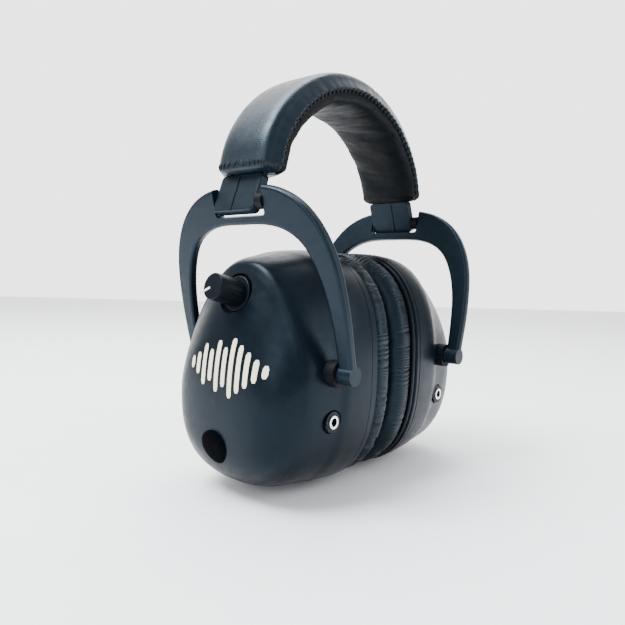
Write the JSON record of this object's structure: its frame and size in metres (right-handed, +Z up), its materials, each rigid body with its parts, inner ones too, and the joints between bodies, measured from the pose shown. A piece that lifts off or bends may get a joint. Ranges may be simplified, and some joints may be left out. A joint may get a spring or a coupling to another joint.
{
  "type": "earmuff hearing protector",
  "caption": "Over-ear hearing protector: padded headband, sliding band ends, yokes that hold deep oval cups, soft ear cushions, volume knobs, microphones and audio sockets.",
  "frame": {"origin": "middle of the base at the bottom of the cup rims, below the middle of the headband", "axes": "+X towards the wearer's left ear, -Y towards the front, +Z up over the head"},
  "size_m": [0.1496, 0.1014, 0.1885],
  "materials": {
    "shell_plastic": "satin blue-black moulding",
    "yoke_plastic": "satin blue-black moulding",
    "black_plastic": "satin black moulding",
    "black_rubber": "matt black rubber",
    "cushion_vinyl": "soft blue-black vinyl skin",
    "band_leather": "soft blue-black leatherette",
    "open_foam": "open-cell foam",
    "mic_foam": "fine black foam",
    "screw_steel": "plain steel",
    "spring_steel": "blued spring steel",
    "socket_metal": "bright plated",
    "speaker_grey": "grey basket and cone",
    "board_green": "green laminate",
    "chip_black": "black components",
    "battery_jacket": "plain wrapped steel cell",
    "white_mark": "white inlay"
  },
  "bodies": {
    "headband": {"headband_cover": "band_leather", "headband_foam": "open_foam", "headband_spring": "spring_steel", "band_guide_left": "black_plastic", "guide_rivets_left": "screw_steel", "band_guide_right": "black_plastic", "guide_rivets_right": "screw_steel"},
    "band_end_left": {"band_end_left": "yoke_plastic"},
    "yoke_left": {"yoke_left": "yoke_plastic", "pivot_pins_left": "screw_steel", "crown_pin_left": "screw_steel", "crown_spacer_left": "black_rubber"},
    "cup_left": {"cup_shell_left": "shell_plastic", "rim_ring_left": "shell_plastic", "rim_screws_left": "screw_steel", "cushion_plate_left": "black_plastic", "ear_cushion_left": "cushion_vinyl", "foam_liner_left": "open_foam", "speaker_baffle_left": "black_plastic", "speaker_left": "speaker_grey", "circuit_board_left": "board_green", "board_chips_left": "chip_black", "battery_left": "battery_jacket", "battery_tray_left": "black_plastic", "potentiometer_left": "socket_metal", "mic_windscreen_left": "mic_foam", "mic_capsule_left": "socket_metal", "jack_body_left": "black_plastic", "jack_ring_left": "socket_metal", "pivot_grommets_left": "black_rubber"},
    "knob_left": {"control_shaft_left": "socket_metal", "volume_knob_left": "black_plastic", "knob_pointer_left": "white_mark"},
    "band_end_right": {"band_end_right": "yoke_plastic"},
    "yoke_right": {"yoke_right": "yoke_plastic", "pivot_pins_right": "screw_steel", "crown_pin_right": "screw_steel", "crown_spacer_right": "black_rubber"},
    "cup_right": {"cup_shell_right": "shell_plastic", "rim_ring_right": "shell_plastic", "rim_screws_right": "screw_steel", "cushion_plate_right": "black_plastic", "ear_cushion_right": "cushion_vinyl", "foam_liner_right": "open_foam", "speaker_baffle_right": "black_plastic", "speaker_right": "speaker_grey", "circuit_board_right": "board_green", "board_chips_right": "chip_black", "battery_right": "battery_jacket", "battery_tray_right": "black_plastic", "potentiometer_right": "socket_metal", "mic_windscreen_right": "mic_foam", "mic_capsule_right": "socket_metal", "jack_body_right": "black_plastic", "jack_ring_right": "socket_metal", "pivot_grommets_right": "black_rubber"},
    "knob_right": {"control_shaft_right": "socket_metal", "volume_knob_right": "black_plastic", "knob_pointer_right": "white_mark"}
  },
  "joints": [
    {"name": "height_slide_left", "type": "slide", "parent": "headband", "child": "band_end_left", "axis": [0.342, 0, -0.9397], "range_m": [0, 0.02]},
    {"name": "yoke_swing_left", "type": "hinge", "parent": "band_end_left", "child": "yoke_left", "pos_m": [0.05888, 0, 0.12429], "axis": [0, -1, 0], "range_deg": [0, 12]},
    {"name": "cup_swivel_left", "type": "hinge", "parent": "yoke_left", "child": "cup_left", "pos_m": [0.043, 0, 0.0555], "axis": [0, -1, 0], "range_deg": [-6, 6], "deforming": ["ear_cushion_left"]},
    {"name": "volume_left", "type": "hinge", "parent": "cup_left", "child": "knob_left", "pos_m": [0.0574, 0, 0.0854], "axis": [0.9703, 0, 0.2419], "range_deg": [0, 270]},
    {"name": "height_slide_right", "type": "slide", "parent": "headband", "child": "band_end_right", "axis": [-0.342, 0, -0.9397], "range_m": [0, 0.02]},
    {"name": "yoke_swing_right", "type": "hinge", "parent": "band_end_right", "child": "yoke_right", "pos_m": [-0.05888, 0, 0.12429], "axis": [0, 1, 0], "range_deg": [0, 12]},
    {"name": "cup_swivel_right", "type": "hinge", "parent": "yoke_right", "child": "cup_right", "pos_m": [-0.043, 0, 0.0555], "axis": [0, 1, 0], "range_deg": [-6, 6], "deforming": ["ear_cushion_right"]},
    {"name": "volume_right", "type": "hinge", "parent": "cup_right", "child": "knob_right", "pos_m": [-0.0574, 0, 0.0854], "axis": [-0.9703, 0, 0.2419], "range_deg": [0, 270]}
  ]
}
